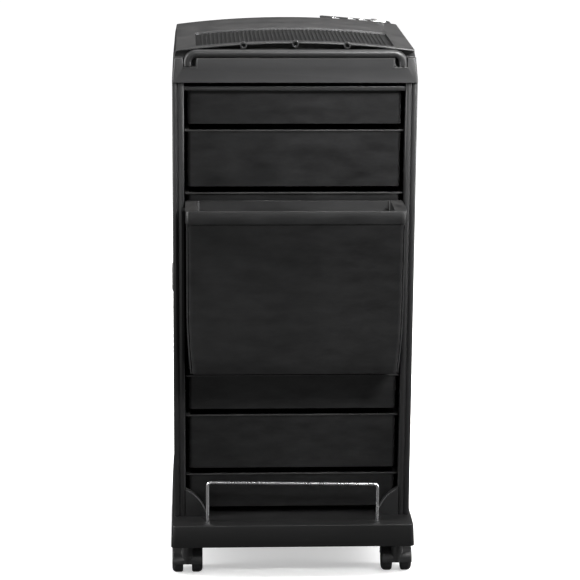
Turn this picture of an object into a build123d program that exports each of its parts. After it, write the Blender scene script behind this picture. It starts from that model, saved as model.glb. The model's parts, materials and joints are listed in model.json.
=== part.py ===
from build123d import *
import math
import os

# A wheeled salon trolley: eight drawers between two moulded side frames, a top tray with a ribbed
# mat and a push bar, a lift-off bin hung between the back posts, a bottle rail on the base and a
# steel tool holder behind the tray. Millimetres. The bin is on the back (-Y), the drawers open to
# the front (+Y), +X is to the right of a person who stands at the bin, +Z is up.
# Every piece is drawn about the middle of the top tray and is then moved in Y, so that the origin
# is on the floor under the middle of the whole trolley.

# ---- fits ----
RUNNING_FIT = 0.05      # radial play of a shaft that turns in a hole
BODY_GAP = 0.3          # smallest gap between pieces that move apart
LOOSE_HOLE = 0.2        # radial play of a screw or wire in its hole

# ---- casters ----
WHEEL_D = 40.0
WHEEL_W = 17.4
WHEEL_EDGE = 7.0        # rounding of the tread's outer edge
WHEEL_DISH = 2.0        # depth of the ring on its outer face
WEB_W = 12.0            # plate of the hood between its two wheels
WHEEL_SIDE_GAP = 1.0    # from web to wheel
HOOD_GAP = 1.2          # from tread to mudguard
HOOD_WALL = 2.5
CASTER_TRAIL = 14.0     # from swivel axis back to axle
AXLE_D = 6.0
AXLE_CAP = 2.5          # wheel wall that hides the axle's end
STEM_D = 11.0
NECK_D = 20.0
NECK_DROP = 4.4         # top of the neck, under the base
STEM_GRIP = 10.0        # stem length inside the neck
STEM_REACH = 27.6       # how far the stem goes up into the base
SHOULDER_H = 2.2        # collar of the stem, between neck and socket
SHOULDER_D = 18.0
SOCKET_WALL = 2.5
SOCKET_FLANGE_D = 27.0
SOCKET_FLANGE_H = 1.8
CASTER_SIDE_INSET = 26.1    # swivel axes, in from the base's sides
CASTER_INSET = 29.0     # swivel axes, in from the base's back and front edges

# ---- base ----
BASE_W = 390.2
BASE_DRAFT = 1.95       # how much narrower each side is at the top
BASE_TAIL = 47.1        # how far the base stands out behind the posts
BASE_NOSE = 12.0        # and in front of them
BASE_BOTTOM = 55.4
BASE_H = 36.4
BASE_WALL = 3.0
BASE_CORNER = 7.0
BASE_LIP = 1.6          # rounding along the deck's edge
BOSS_WALL = 4.0
RIB_T = 2.5

# ---- side frames ----
FRAME_INSET = 5.2       # outer faces, in from the base's sides
POST_W = 18.3
POST_D = 26.0
FRAME_WALL = 3.0
HEAD_ROOM = 10.3        # from the top drawer's rim to the top of the frames
OUTER_BEAD = 8.9        # width of the outer one of a post's two rounded beads
BEAD_H = 2.4            # height of the beads over the groove between them
FLANGE_T = 3.0
FRAME_SCREW_IN = 66.0   # screws, in from the posts' faces
FRAME_SCREW_D = 4.0
SCREW_HEAD_D = 8.0
SCREW_HEAD_H = 2.4
SCREW_BITE = 10.0
FOOT_W = 35.1           # foot gusset, inwards from the post
FOOT_H = 47.2
FOOT_BULGE_IN = 21.8    # a point on its curved edge: in from the post and above the deck
FOOT_BULGE_UP = 29.0
FOOT_DEPTH = 10.0
FOOT_ROUND = 2.0        # rounding along its curved edge
PANEL_RECESS = 1.0      # shallow field on the outer side, between the posts
PANEL_MARGIN = 14.0
PANEL_CORNER = 12.0

# ---- drawers and their runners ----
UNIT = 33.0             # pitch of the runners
DRAWER_UNITS = [2, 3, 3, 3, 3, 2, 3, 2]     # heights, from the top down
LOWEST_UNIT = 2.4       # the grid's lowest line, above the deck
DRAWER_BACK_IN = 14.2   # drawer's back, in from the posts' faces
DRAWER_FRONT_IN = 18.0
DRAWER_SIDE_GAP = 5.2   # drawer's side to post, where the runners are
DRAWER_WALL = 2.5
DRAWER_CORNER = 7.0
DRAWER_GAP = 9.5        # from a drawer's floor down to the next rim
RIM_T = 2.5
RIM_BACK = 2.2          # how far the rim stands out behind
SLIDE_GAP = 0.8         # rim to post, each side
RUNNER_GAP = 0.4        # rim to runner
RUNNER_T = 3.0
RUNNER_SIDE_GAP = 0.8   # from a runner's edge to the drawer
RUNNER_END_GAP = 0.6
RUNNER_SHORT = 40.0     # runner's back end, in from the drawer's back
STOP_L = 2.3
STOP_GAP = 0.8          # between a stop and the rim below it
FASCIA_T = 4.0
FASCIA_REVEAL = 1.2     # gap between fascias
PULL_END_IN = 56.4      # ends of the pull, in from the drawer's sides
PULL_REACH = 17.0
PULL_DROP = 13.0
PULL_T = 3.0
PULL_CORNER = 8.0
DRAWER_TRAVEL = 230.0
LUG_L = 10.0
LUG_H = 3.0
LUG_CLEAR = 1.2         # from a lug to the post

# ---- tie rails ----
TIE_H = 6.5
TIE_T = 4.0
TIE_BACK_DROP = 7.0     # top of the back rail, under the top of the frames

# ---- top tray ----
SKIRT_OVER = 0.1        # how far the skirt stands out over the frames, each side
SKIRT_D = 322.4
SKIRT_OVERHANG = 5.2    # and over the posts' back and front faces
SKIRT_H = 37.9
SKIRT_DRAFT_W = 7.5     # how much narrower it is at its top
SKIRT_DRAFT_D = 3.2
EDGE_H = 12.7           # from the skirt's top to the tray's surface at its sides
EDGE_DRAFT_W = 5.2
EDGE_DRAFT_D = 2.0
CROWN = 12.0            # how much higher it is in the middle
TRAY_CORNER = 4.0
TRAY_WALL = 3.0
MAT_SIDE_LAND = 30.65   # from the tray's side to the mat's recess
MAT_BACK_LAND = 19.2    # from the skirt's back to it
MAT_D = 157.4
MAT_RECESS = 4.8
MAT_CORNER = 6.0
MAT_FLOOR = 2.3         # tray wall under the mat
EAVE_T = 2.5            # tray edge that overhangs the push bar
TRAY_BOSS_D = 11.0

# ---- ribbed mat ----
MAT_GAP = 0.5
MAT_LIFT = 0.05         # mat above the recess's floor
MAT_T = 1.3
MAT_RIB_PITCH = 6.5
MAT_RIB_W = 3.2
MAT_RIB_H = 1.0

# ---- push bar ----
BAR_D = 13.3
BAR_LIFT = 0.15         # bar above the tray's shelf
BAR_PROUD = 3.0         # how far it stands out over the skirt
BAR_LEG_IN = 24.3       # legs, in from the skirt's sides
BAR_BEND = 14.0
POCKET_GAP = 0.35       # leg to pocket, on the outer side and behind
POCKET_ROOM = 6.0       # leg to pocket, on the inner side
POCKET_DEPTH = 13.5
POCKET_RIM = 2.4
POCKET_RIM_UP = 1.4

# ---- accessory sockets in the tray's back edge ----
ACCESSORY_PITCH = 79.7
ACCESSORY_D = 10.5
ACCESSORY_BORE = 6.5
ACCESSORY_DROP = 3.3    # its axis below the tray's surface
ACCESSORY_L = 12.0
ACCESSORY_BLIND = 2.0

# ---- bin ----
BIN_SIDE_GAP = 2.8      # from the bin to the posts
BIN_COLLAR = 1.4        # how far the collar stands out
BIN_COLLAR_H = 20.0
BIN_TOP_DROP = 187.5    # its rim, under the top of the frames
BIN_H = 264.0
BIN_D = 84.7
BIN_TILT = 18.0         # how much its front leans in at the bottom
BIN_CLEAR = 2.9         # from the drawers' rims to the bin
BIN_WALL = 2.5
BIN_CHEEK = 17.8        # width of the rim at each side
BIN_MOUTH_LAND = 5.5    # width of the rim along the front
BIN_TUCK = 5.5          # how far each side curves in
BIN_TUCK_H = 105.0
BIN_CORNER = 10.0
PEG_D = 8.0
PEG_HEAD_D = 11.0
PEG_HEAD_T = 1.5
PEG_IN = 6.1            # its axis, in from the bin's back and rim
PEG_DOWN = 13.0
PEG_REACH = 10.6        # how far its shank stands in from the post

# ---- bottle rail ----
WIRE_D = 5.0
RAIL_SIDE_IN = 58.6     # its legs, in from the base's sides and back
RAIL_BACK_IN = 26.8
RAIL_LEFT_H = 64.6      # the hand-bent wire stands a little higher on the left
RAIL_RIGHT_H = 59.7
RAIL_BEND = 6.0
RAIL_BELOW = 9.0        # wire ends under the deck
NUT_D = 12.0
NUT_H = 3.0

# ---- tool holder ----
HOLDER_END_IN = 126.65  # its left end, in from the tray's right side
HOLDER_L = 119.0
HOLDER_REACH = 41.0
HOLDER_T = 1.5
HOLDER_FLANGE = 12.0
HOLDER_LIP = 3.5
HOLDER_SLOPE = 4.7      # degrees, following the tray's crown
HOLDER_DROP = 1.0       # its surface below the tray's surface
HOLDER_SLOTS = [        # centre along the plate, width, near side, far side
    (26.8, 13.0, 7.0, 33.0),
    (54.5, 15.0, 7.0, 33.0),
    (74.0, 15.0, 7.0, 33.0),
    (102.0, 24.0, 7.0, 21.0),
]
HOLDER_SLOT_R = 4.0
HOLDER_SCREW_D = 4.0

# ---- oval side caps ----
CAP_H = 42.0
CAP_L = 66.0
CAP_T = 2.5
CAP_UP = 361.2          # its middle, above the deck

# ---- worked out ----
AXLE_Z = WHEEL_D / 2
WHEEL_X = WEB_W / 2 + WHEEL_SIDE_GAP + WHEEL_W / 2
HOOD_W = 2 * (WEB_W / 2 + WHEEL_SIDE_GAP + WHEEL_W)
HOOD_IN = WHEEL_D / 2 + HOOD_GAP
HOOD_OUT = HOOD_IN + HOOD_WALL
NECK_TOP = BASE_BOTTOM - NECK_DROP
STEM_TOP = BASE_BOTTOM + STEM_REACH
SOCKET_BORE = STEM_D + 2 * RUNNING_FIT
SOCKET_D = SOCKET_BORE + 2 * SOCKET_WALL
DECK_Z = BASE_BOTTOM + BASE_H
FRAME_OUT = BASE_W / 2 - FRAME_INSET
POST_IN = FRAME_OUT - POST_W
SKIN_IN = FRAME_OUT - FRAME_WALL
POST_FACE = SKIRT_D / 2 - SKIRT_OVERHANG
RETURN_Y = POST_FACE - POST_D
FRAME_SCREW_Y = POST_FACE - FRAME_SCREW_IN
BASE_BACK = -POST_FACE - BASE_TAIL
BASE_FRONT = POST_FACE + BASE_NOSE
CASTER_X = BASE_W / 2 - CASTER_SIDE_INSET
CASTER_BACK = BASE_BACK + CASTER_INSET
CASTER_FRONT = BASE_FRONT - CASTER_INSET
DRAWER_BACK = DRAWER_BACK_IN - POST_FACE
DRAWER_FRONT = POST_FACE - DRAWER_FRONT_IN
DRAWER_HALF_W = POST_IN - DRAWER_SIDE_GAP
RUNNER_LEDGE = DRAWER_SIDE_GAP - RUNNER_SIDE_GAP
LUG_W = DRAWER_SIDE_GAP - LUG_CLEAR
PULL_HALF_W = DRAWER_HALF_W - PULL_END_IN
GRID_LOW = DECK_Z + LOWEST_UNIT
GRID_COUNT = sum(DRAWER_UNITS)
FRAME_TOP = GRID_LOW + UNIT * GRID_COUNT + HEAD_ROOM
TIE_BACK_TOP = FRAME_TOP - TIE_BACK_DROP
CAP_Z = DECK_Z + CAP_UP
SKIRT_W = 2 * (FRAME_OUT + SKIRT_OVER)
SKIRT_TOP_W = SKIRT_W - SKIRT_DRAFT_W
SKIRT_TOP_D = SKIRT_D - SKIRT_DRAFT_D
SKIRT_TOP = FRAME_TOP + SKIRT_H
EDGE_W = SKIRT_TOP_W - EDGE_DRAFT_W
EDGE_D = SKIRT_TOP_D - EDGE_DRAFT_D
EDGE_Z = SKIRT_TOP + EDGE_H
CROWN_R = ((EDGE_W / 2) ** 2 + CROWN**2) / (2 * CROWN)
CROWN_CENTRE_Z = EDGE_Z + CROWN - CROWN_R
MAT_HALF_W = EDGE_W / 2 - MAT_SIDE_LAND
MAT_BACK = MAT_BACK_LAND - SKIRT_D / 2
MAT_FRONT = MAT_BACK + MAT_D
BAR_LEG_X = SKIRT_W / 2 - BAR_LEG_IN
BAR_Y = -SKIRT_TOP_D / 2 + BAR_D / 2 - BAR_PROUD
BAR_Z = SKIRT_TOP + BAR_LIFT + BAR_D / 2
POCKET_BACK = BAR_Y + BAR_D / 2 + POCKET_GAP
POCKET_IN = BAR_LEG_X - BAR_D / 2 - POCKET_ROOM
POCKET_OUT = BAR_LEG_X + BAR_D / 2 + POCKET_GAP
POCKET_LOW = SKIRT_TOP - POCKET_DEPTH
NICHE_BACK = MAT_BACK - MAT_FLOOR
BIN_BACK = DRAWER_BACK - RIM_BACK - BIN_CLEAR
BIN_FRONT = BIN_BACK - BIN_D
BIN_HALF_W = POST_IN - BIN_SIDE_GAP
BIN_MOUTH_HALF_W = BIN_HALF_W - BIN_CHEEK
BIN_TOP = FRAME_TOP - BIN_TOP_DROP
BIN_BOTTOM = BIN_TOP - BIN_H
BIN_HEAD_X = POST_IN - PEG_REACH
PEG_Y = BIN_BACK - PEG_IN
PEG_Z = BIN_TOP - PEG_DOWN
RAIL_X = BASE_W / 2 - RAIL_SIDE_IN
RAIL_Y = BASE_BACK + RAIL_BACK_IN
RAIL_LEFT_TOP = DECK_Z + RAIL_LEFT_H
RAIL_RIGHT_TOP = DECK_Z + RAIL_RIGHT_H
HOLDER_X0 = EDGE_W / 2 - HOLDER_END_IN
HOLDER_EDGE_Y = SKIRT_TOP_D / 2
HOLDER_FAR = HOLDER_EDGE_Y + HOLDER_REACH
MIDDLE_Y = (BIN_FRONT + HOLDER_FAR) / 2


def crown_z(x):
    return CROWN_CENTRE_Z + math.sqrt(CROWN_R**2 - x**2)


def block(x0, x1, y0, y1, z0, z1):
    return Pos((x0 + x1) / 2, (y0 + y1) / 2, (z0 + z1) / 2) * Box(abs(x1 - x0), abs(y1 - y0), abs(z1 - z0))


def upright(x, y, z0, z1, diameter):
    return Pos(x, y, (z0 + z1) / 2) * Cylinder(diameter / 2, z1 - z0)


def along_x(x0, x1, y, z, diameter):
    return Pos((x0 + x1) / 2, y, z) * Rot(0, 90, 0) * Cylinder(diameter / 2, abs(x1 - x0))


def along_y(x, y0, y1, z, diameter):
    return Pos(x, (y0 + y1) / 2, z) * Rot(90, 0, 0) * Cylinder(diameter / 2, abs(y1 - y0))


def rounded_plate(x0, x1, y0, y1, z0, z1, radius):
    outline = Pos((x0 + x1) / 2, (y0 + y1) / 2, z0) * RectangleRounded(x1 - x0, y1 - y0, radius)
    return extrude(outline, z1 - z0)


def mirrored(shape):
    return mirror(shape, Plane.YZ)


def save(name, shape):
    os.makedirs("parts", exist_ok=True)
    moved = Pos(0, -MIDDLE_Y, 0) * shape
    export_step(moved, f"parts/{name}.step")


# ---- base ----

def caster_places():
    places = {}
    for side, x in (("left", -CASTER_X), ("right", CASTER_X)):
        places[f"back_{side}"] = (x, CASTER_BACK)
        places[f"front_{side}"] = (x, CASTER_FRONT)
    return places


def frame_screw_places():
    x = (POST_IN + SKIN_IN) / 2
    return [(sx * x, sy * FRAME_SCREW_Y) for sx in (-1, 1) for sy in (-1, 1)]


def tapered(width, depth, inset, z0, z1, corner, draft):
    low = Pos(0, 0, z0) * RectangleRounded(width - 2 * inset, depth - 2 * inset, corner)
    high = Pos(0, 0, z1) * RectangleRounded(width - 2 * inset - 2 * draft, depth - 2 * inset - 2 * draft, corner)
    return loft([low, high])


def make_base():
    depth = BASE_FRONT - BASE_BACK
    middle = Pos(0, (BASE_FRONT + BASE_BACK) / 2, 0)
    shell = tapered(BASE_W, depth, 0, BASE_BOTTOM, DECK_Z, BASE_CORNER, BASE_DRAFT)
    deck_edges = shell.faces().sort_by(Axis.Z)[-1].edges()
    shell = fillet(deck_edges, BASE_LIP)
    inner_corner = BASE_CORNER - BASE_WALL
    hollow = tapered(BASE_W, depth, BASE_WALL, BASE_BOTTOM, DECK_Z - BASE_WALL, inner_corner, BASE_DRAFT)
    base = middle * (shell - hollow)
    half_w = BASE_W / 2 - BASE_DRAFT - BASE_WALL
    top = DECK_Z - BASE_WALL
    for y in (CASTER_BACK + depth / 3, CASTER_FRONT - depth / 3):
        base += block(-half_w, half_w, y - RIB_T / 2, y + RIB_T / 2, BASE_BOTTOM + BASE_WALL, top)
    for x, y in caster_places().values():
        base += upright(x, y, BASE_BOTTOM, top, SOCKET_D + 2 * BOSS_WALL)
    for x, y in caster_places().values():
        base -= upright(x, y, BASE_BOTTOM, STEM_TOP + BODY_GAP, SOCKET_D)
    for x, y in frame_screw_places():
        base -= upright(x, y, top, DECK_Z, FRAME_SCREW_D + 2 * LOOSE_HOLE)
    for x in (-RAIL_X, RAIL_X):
        base -= upright(x, RAIL_Y, top, DECK_Z, WIRE_D + 2 * LOOSE_HOLE)
    return base


# ---- casters ----

def make_socket(x, y):
    top = STEM_TOP + BODY_GAP
    sleeve = upright(x, y, BASE_BOTTOM, top, SOCKET_D)
    flange = upright(x, y, BASE_BOTTOM - SOCKET_FLANGE_H, BASE_BOTTOM, SOCKET_FLANGE_D)
    return sleeve + flange - upright(x, y, BASE_BOTTOM - SOCKET_FLANGE_H, top, SOCKET_BORE)


def make_stem(x, y):
    stem = upright(x, y, NECK_TOP - STEM_GRIP, STEM_TOP, STEM_D)
    stem = chamfer(stem.edges().sort_by(Axis.Z)[-1], 1.0)
    return stem + upright(x, y, NECK_TOP, NECK_TOP + SHOULDER_H, SHOULDER_D)


def make_hood(x, y):
    axle_y = y + CASTER_TRAIL
    outside = along_x(x - HOOD_W / 2, x + HOOD_W / 2, axle_y, AXLE_Z, 2 * HOOD_OUT)
    outside = fillet(outside.edges(), HOOD_WALL)
    inside = along_x(x - HOOD_W / 2, x + HOOD_W / 2, axle_y, AXLE_Z, 2 * HOOD_IN)
    upper = block(x - HOOD_W, x + HOOD_W, axle_y - 2 * HOOD_OUT, axle_y + 2 * HOOD_OUT, AXLE_Z, NECK_TOP)
    neck = upright(x, y, AXLE_Z, NECK_TOP, NECK_D)
    guard = ((outside & upper) + neck) - inside
    web = along_x(x - WEB_W / 2, x + WEB_W / 2, axle_y, AXLE_Z, 2 * HOOD_IN + HOOD_WALL) & upper
    hub = along_x(x - WEB_W / 2, x + WEB_W / 2, axle_y, AXLE_Z, AXLE_D + 4 * HOOD_WALL)
    hood = guard + web + hub
    hood -= along_x(x - HOOD_W, x + HOOD_W, axle_y, AXLE_Z, AXLE_D)
    return hood - upright(x, y, NECK_TOP - STEM_GRIP, NECK_TOP, STEM_D)


def make_wheel(x, y, side):
    """A wheel whose outer face looks to the side it stands on; side is -1 or 1."""
    radius = WHEEL_D / 2
    bore = AXLE_D / 2 + RUNNING_FIT
    wheel = along_x(-WHEEL_W / 2, WHEEL_W / 2, 0, 0, WHEEL_D)
    outer_edge = wheel.edges().filter_by(GeomType.CIRCLE).sort_by(Axis.X)[-1]
    wheel = fillet(outer_edge, WHEEL_EDGE)
    inner_edge = wheel.edges().filter_by(GeomType.CIRCLE).sort_by(Axis.X)[0]
    wheel = fillet(inner_edge, WHEEL_EDGE / 2)
    dish = along_x(WHEEL_W / 2 - WHEEL_DISH, WHEEL_W / 2, 0, 0, 1.2 * radius)
    dish -= along_x(WHEEL_W / 2 - WHEEL_DISH, WHEEL_W / 2, 0, 0, 0.7 * radius)
    pocket = along_x(-WHEEL_W / 2, 0, 0, 0, 1.5 * radius)
    pocket -= along_x(-WHEEL_W / 2, 0, 0, 0, 0.7 * radius)
    wheel -= dish
    wheel -= pocket
    wheel -= along_x(-WHEEL_W / 2, WHEEL_W / 2 - AXLE_CAP, 0, 0, 2 * bore)
    if side < 0:
        wheel = Rot(0, 0, 180) * wheel
    return Pos(x + side * WHEEL_X, y + CASTER_TRAIL, AXLE_Z) * wheel


def make_axle(x, y):
    half = WHEEL_X + WHEEL_W / 2 - AXLE_CAP - BODY_GAP
    return along_x(x - half, x + half, y + CASTER_TRAIL, AXLE_Z, AXLE_D)


# ---- side frames ----

def post_section():
    """Right-hand back post, seen from above: a box tube with two rounded beads on its back."""
    groove_x = FRAME_OUT - OUTER_BEAD
    low = -POST_FACE + BEAD_H
    inner_bead = ThreePointArc((POST_IN, low), ((POST_IN + groove_x) / 2, -POST_FACE), (groove_x, low))
    outer_bead = ThreePointArc((groove_x, low), ((groove_x + FRAME_OUT) / 2, -POST_FACE), (FRAME_OUT, low))
    rest = Polyline((FRAME_OUT, low), (FRAME_OUT, -RETURN_Y), (POST_IN, -RETURN_Y), (POST_IN, low))
    outer = make_face(Curve() + [inner_bead, outer_bead, rest])
    inner_w = POST_W - 2 * FRAME_WALL
    inner_d = POST_D - 2 * FRAME_WALL - BEAD_H
    inner_y = (-POST_FACE + BEAD_H - RETURN_Y) / 2
    inner = Pos((POST_IN + FRAME_OUT) / 2, inner_y) * RectangleRounded(inner_w, inner_d, 1.0)
    return outer - inner


def foot_gusset():
    """Right-hand foot: a plate that widens the back post where it stands on the deck."""
    top = (POST_IN, DECK_Z + FOOT_H)
    bulge = (POST_IN - FOOT_BULGE_IN, DECK_Z + FOOT_BULGE_UP)
    toe = (POST_IN - FOOT_W, DECK_Z)
    heel = (POST_IN, DECK_Z)
    edge = ThreePointArc(top, bulge, toe)
    outline = make_face(Curve() + [edge, Line(toe, heel), Line(heel, top)])
    plate = extrude(Plane.XZ * outline, FOOT_DEPTH)
    curved = plate.edges().filter_by(GeomType.CIRCLE).sort_by(Axis.Y)[0]
    plate = fillet(curved, FOOT_ROUND)
    return Pos(0, -POST_FACE + FOOT_DEPTH, 0) * plate


def runner_heights():
    """Upper faces of the runners, one under each line of the grid."""
    return [GRID_LOW + UNIT * line - RIM_T - RUNNER_GAP for line in range(1, GRID_COUNT + 1)]


def runner(z):
    """Right-hand runner with a stop that hangs from its front end, down to the next rim."""
    tip = POST_IN - RUNNER_LEDGE
    front = DRAWER_FRONT - RUNNER_END_GAP
    next_rim = z + RUNNER_GAP + RIM_T - UNIT
    ledge = block(tip, POST_IN, DRAWER_BACK + RUNNER_SHORT, front, z - RUNNER_T, z)
    ledge += block(POST_IN, SKIN_IN, -RETURN_Y, RETURN_Y, z - RUNNER_T, z)
    return ledge + block(tip, POST_IN, front - STOP_L, front, next_rim + STOP_GAP, z)


def make_side_frame():
    height = FRAME_TOP - DECK_Z
    post = Pos(0, 0, DECK_Z) * extrude(post_section(), height)
    frame = post + mirror(post, Plane.XZ)
    frame += block(SKIN_IN, FRAME_OUT, -RETURN_Y, RETURN_Y, DECK_Z, FRAME_TOP)
    frame += foot_gusset()
    for z in runner_heights():
        frame += runner(z)
    for z0 in (DECK_Z, FRAME_TOP - FLANGE_T):
        frame += block(POST_IN, SKIN_IN, -RETURN_Y, RETURN_Y, z0, z0 + FLANGE_T)
    for x, y in frame_screw_places():
        if x > 0:
            frame += upright(x, y, DECK_Z, DECK_Z + SCREW_BITE + FLANGE_T, SCREW_HEAD_D + 2)
            frame -= upright(x, y, DECK_Z, DECK_Z + SCREW_BITE, FRAME_SCREW_D)
            frame -= upright(x, y, FRAME_TOP - FLANGE_T, FRAME_TOP, FRAME_SCREW_D + 2 * LOOSE_HOLE)
    frame -= along_x(POST_IN, POST_IN + FRAME_WALL, PEG_Y, PEG_Z, PEG_D)
    field = Pos(0, (DECK_Z + FRAME_TOP) / 2) * RectangleRounded(2 * RETURN_Y, height - 2 * PANEL_MARGIN, PANEL_CORNER)
    return frame - Pos(FRAME_OUT - PANEL_RECESS, 0, 0) * extrude(Plane.YZ * field, POST_W)


def make_side_cap():
    cap = extrude(Plane.YZ * SlotOverall(CAP_L, CAP_H), CAP_T + PANEL_RECESS)
    cap = fillet(cap.faces().sort_by(Axis.X)[-1].edges(), CAP_T - 0.5)
    return Pos(FRAME_OUT - PANEL_RECESS, 0, CAP_Z) * cap


def make_tie_rail(back):
    if back:
        y0 = BIN_BACK - TIE_T
        top = TIE_BACK_TOP
    else:
        y0 = DRAWER_FRONT + FASCIA_T
        top = FRAME_TOP - 2 * BODY_GAP
    return block(-POST_IN, POST_IN, y0, y0 + TIE_T, top - TIE_H, top)


def make_frame_screws(z_head, z_tip):
    """Four screws that point up; z_head is the underside that their heads bear on."""
    screws = []
    for x, y in frame_screw_places():
        head = upright(x, y, z_head - SCREW_HEAD_H, z_head, SCREW_HEAD_D)
        head = fillet(head.edges().sort_by(Axis.Z)[0], 1.0)
        screws.append(head + upright(x, y, z_head, z_tip, FRAME_SCREW_D))
    return Compound(screws)


# ---- drawers ----

def drawer_rows():
    """Rim height and size in units of each drawer, from the top down."""
    rows = []
    line = GRID_COUNT
    for units in DRAWER_UNITS:
        rows.append((GRID_LOW + UNIT * line, units))
        line -= units
    return rows


def pull_lip(rim):
    """A curled lip along the top of the fascia, open below for the fingers."""
    y0 = DRAWER_FRONT + FASCIA_T
    y1 = y0 + PULL_REACH
    low = rim - PULL_DROP
    outer = make_face(Polyline((y0, rim), (y1, rim), (y1, low), (y0, low), close=True))
    outer = fillet(outer.vertices().group_by(Axis.X)[-1].sort_by(Axis.Y)[-1], 2 * PULL_T)
    inner = make_face(Polyline((y0, rim - PULL_T), (y1 - PULL_T, rim - PULL_T), (y1 - PULL_T, low), (y0, low), close=True))
    inner = fillet(inner.vertices().group_by(Axis.X)[-1].sort_by(Axis.Y)[-1], PULL_T)
    lip = extrude(Plane.YZ * (outer - inner), PULL_HALF_W, both=True)
    return lip & rounded_plate(-PULL_HALF_W, PULL_HALF_W, y0 - 2 * PULL_CORNER, y1, low, rim, PULL_CORNER)


def make_drawer(rim, units):
    low = rim - UNIT * units + DRAWER_GAP
    shell = rounded_plate(-DRAWER_HALF_W, DRAWER_HALF_W, DRAWER_BACK, DRAWER_FRONT + FASCIA_T, low, rim, DRAWER_CORNER)
    shell &= block(-DRAWER_HALF_W, DRAWER_HALF_W, DRAWER_BACK, DRAWER_FRONT, low, rim)
    rim_half = POST_IN - SLIDE_GAP
    rim_back = DRAWER_BACK - RIM_BACK
    flange = rounded_plate(-rim_half, rim_half, rim_back, DRAWER_FRONT + FASCIA_T, rim - RIM_T, rim, 2.0)
    drawer = shell + flange
    hollow_half = DRAWER_HALF_W - DRAWER_WALL
    hollow_corner = DRAWER_CORNER - DRAWER_WALL
    inner = rounded_plate(-hollow_half, hollow_half, DRAWER_BACK + DRAWER_WALL, DRAWER_FRONT - DRAWER_WALL,
                          low + DRAWER_WALL, rim, hollow_corner)
    drawer -= inner
    fascia_low = rim - UNIT * units + FASCIA_REVEAL
    fascia = block(-rim_half, rim_half, DRAWER_FRONT, DRAWER_FRONT + FASCIA_T, fascia_low, rim)
    fascia = fillet(fascia.edges().filter_by(Axis.Y), FASCIA_REVEAL)
    drawer += fascia
    drawer += pull_lip(rim)
    lug_top = rim - RIM_T - RUNNER_GAP - RUNNER_T - RUNNER_GAP
    lug_front = DRAWER_FRONT - RUNNER_END_GAP - STOP_L - BODY_GAP - DRAWER_TRAVEL
    for side in (-1, 1):
        inside = side * (DRAWER_HALF_W - DRAWER_WALL / 2)
        outside = side * (DRAWER_HALF_W + LUG_W)
        drawer += block(inside, outside, lug_front - LUG_L, lug_front, lug_top - LUG_H, lug_top)
    return drawer


# ---- top tray ----

def crown_slab(drop_top, drop_low, half_w, y0, y1):
    """A piece of a plate that follows the crown, between two depths below the tray's surface."""
    ring = Circle(CROWN_R - drop_top) - Circle(CROWN_R - drop_low)
    section = ring & Pos(0, CROWN_R) * Rectangle(2 * half_w, CROWN_R)
    return Pos(0, y1, CROWN_CENTRE_Z) * extrude(Plane.XZ * section, y1 - y0)


def below_crown(drop):
    """All space under the crown, from well below the tray."""
    section = Circle(CROWN_R - drop) & Pos(0, CROWN_R) * Rectangle(2 * SKIRT_W, CROWN_R)
    return Pos(0, SKIRT_D, CROWN_CENTRE_Z) * extrude(Plane.XZ * section, 2 * SKIRT_D)


def tray_form(inset, drop):
    """The tray's outer form, or its hollow when it is inset and dropped."""
    corner = TRAY_CORNER - min(inset, TRAY_CORNER - 1)
    z_high = EDGE_Z + CROWN + 1.0
    rise = (z_high - SKIRT_TOP) / (EDGE_Z - SKIRT_TOP)
    high_w = SKIRT_TOP_W - (SKIRT_TOP_W - EDGE_W) * rise
    high_d = SKIRT_TOP_D - (SKIRT_TOP_D - EDGE_D) * rise
    low = Pos(0, 0, FRAME_TOP) * RectangleRounded(SKIRT_W - 2 * inset, SKIRT_D - 2 * inset, corner)
    mid = Pos(0, 0, SKIRT_TOP) * RectangleRounded(SKIRT_TOP_W - 2 * inset, SKIRT_TOP_D - 2 * inset, corner)
    high = Pos(0, 0, z_high) * RectangleRounded(high_w - 2 * inset, high_d - 2 * inset, corner)
    return (loft([low, mid]) + loft([mid, high])) & below_crown(drop)


def niche():
    """The space for the push bar under the tray's edge, with the pockets for its two legs."""
    front = -SKIRT_D
    space = block(-SKIRT_W, SKIRT_W, front, NICHE_BACK, SKIRT_TOP, EDGE_Z + CROWN) & below_crown(EAVE_T)
    for side in (-1, 1):
        space += block(side * POCKET_IN, side * POCKET_OUT, front, POCKET_BACK, POCKET_LOW, SKIRT_TOP)
    return space


def niche_walls():
    """Walls round the niche and its pockets, before the niche is cut."""
    walls = block(-SKIRT_W, SKIRT_W, -SKIRT_D, NICHE_BACK + TRAY_WALL, SKIRT_TOP - TRAY_WALL, EDGE_Z + CROWN)
    for side in (-1, 1):
        inside = side * (POCKET_IN - TRAY_WALL)
        outside = side * (POCKET_OUT + TRAY_WALL)
        walls += block(inside, outside, -SKIRT_D, POCKET_BACK + TRAY_WALL, POCKET_LOW - TRAY_WALL, SKIRT_TOP)
    return walls & tray_form(0, 0)


def pocket_rims():
    """A raised rim on the skirt along the inner side and the foot of each pocket."""
    rims = None
    front = -SKIRT_TOP_D / 2 - POCKET_RIM_UP
    for side in (-1, 1):
        inside = side * (POCKET_IN - POCKET_RIM)
        outside = side * POCKET_OUT
        rim = block(inside, outside, front, POCKET_BACK, POCKET_LOW - POCKET_RIM, SKIRT_TOP)
        rims = rim if rims is None else rims + rim
    return rims


def accessory_places():
    return [(x, crown_z(x) - ACCESSORY_DROP) for x in (-ACCESSORY_PITCH, 0, ACCESSORY_PITCH)]


def holder_screw_places():
    angle = math.radians(HOLDER_SLOPE)
    places = []
    for share in (0.15, 0.85):
        x = HOLDER_X0 + share * HOLDER_L * math.cos(angle)
        z = holder_z(x) - 0.6 * HOLDER_FLANGE
        places.append((x, z))
    return places


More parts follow.
